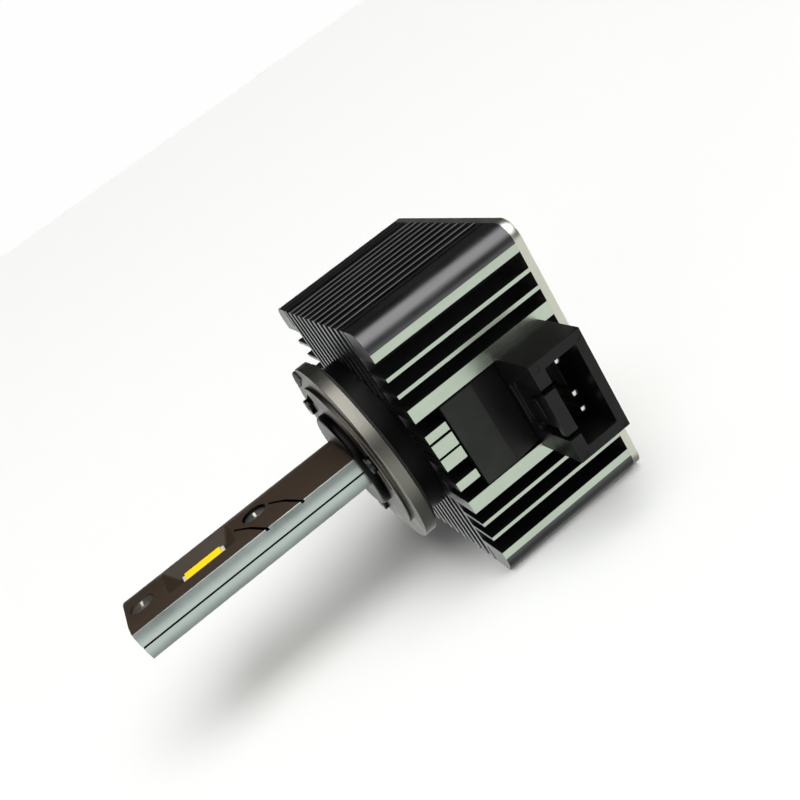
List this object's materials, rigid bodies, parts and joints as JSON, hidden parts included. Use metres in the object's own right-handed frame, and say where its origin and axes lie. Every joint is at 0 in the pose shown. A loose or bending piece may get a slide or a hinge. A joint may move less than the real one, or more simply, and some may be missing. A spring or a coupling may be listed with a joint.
{
  "type": "headlight bulb",
  "caption": "Plug-in LED headlight bulb: a two-sided light stem and round base flange on a square finned heatsink, with a side socket and a rear cooling fan.",
  "frame": {"origin": "centre of the base flange's front face, on the bulb axis (the lamp's reference plane)", "axes": "+X along the bulb axis from the light towards the rear plate, the socket mouth faces -Y, +Z is the upper light face and the upper finned side"},
  "size_m": [0.0724, 0.0518, 0.042],
  "materials": {
    "black_anodised_aluminium": "black anodised, satin",
    "bare_aluminium": "machined",
    "gunmetal_aluminium": "gunmetal anodised, satin",
    "black_nylon": "moulded, fine grain",
    "black_rubber": "matt",
    "bright_steel": "bright",
    "black_steel": "black oxide",
    "copper": "bare copper",
    "tinned_brass": "tin plated",
    "ceramic": "glazed",
    "phosphor": "silicone, satin",
    "circuit_board": "solder mask",
    "ferrite": "matt",
    "capacitor_sleeve": "shrink sleeve",
    "epoxy": "moulded",
    "thermal_silicone": "matt",
    "sintered_bronze": "sintered"
  },
  "bodies": {
    "bulb": {"heatsink_body": "black_anodised_aluminium", "rear_plate": "bare_aluminium", "rear_plate_screws": "black_steel", "mounting_collar": "black_anodised_aluminium", "collar_screws": "bright_steel", "seal_ring": "black_rubber", "base_flange": "gunmetal_aluminium", "flange_screws": "black_steel", "locating_key": "black_nylon", "stem_hub": "gunmetal_aluminium", "stem_half_upper": "gunmetal_aluminium", "stem_half_lower": "gunmetal_aluminium", "stem_screws": "bright_steel", "led_board": "copper", "led_chip_upper": "ceramic", "led_chip_lower": "ceramic", "led_phosphor_upper": "phosphor", "led_phosphor_lower": "phosphor", "link_strips": "copper", "driver_board": "circuit_board", "driver_inductor": "ferrite", "driver_capacitor": "capacitor_sleeve", "driver_chips": "epoxy", "thermal_pad": "thermal_silicone", "connector_base": "black_nylon", "connector_housing": "black_nylon", "contact_pins": "tinned_brass", "fan_frame": "black_nylon", "fan_board": "circuit_board", "fan_stator": "copper", "fan_bearing": "sintered_bronze", "fan_screws": "bright_steel"},
    "rotor": {"fan_rotor": "black_nylon", "fan_magnet": "ferrite", "fan_shaft": "bright_steel"}
  },
  "joints": [
    {"name": "fan_spin", "type": "hinge", "parent": "bulb", "child": "rotor", "pos_m": [0.0256, 0, 0], "axis": [1, 0, 0], "continuous": true}
  ]
}
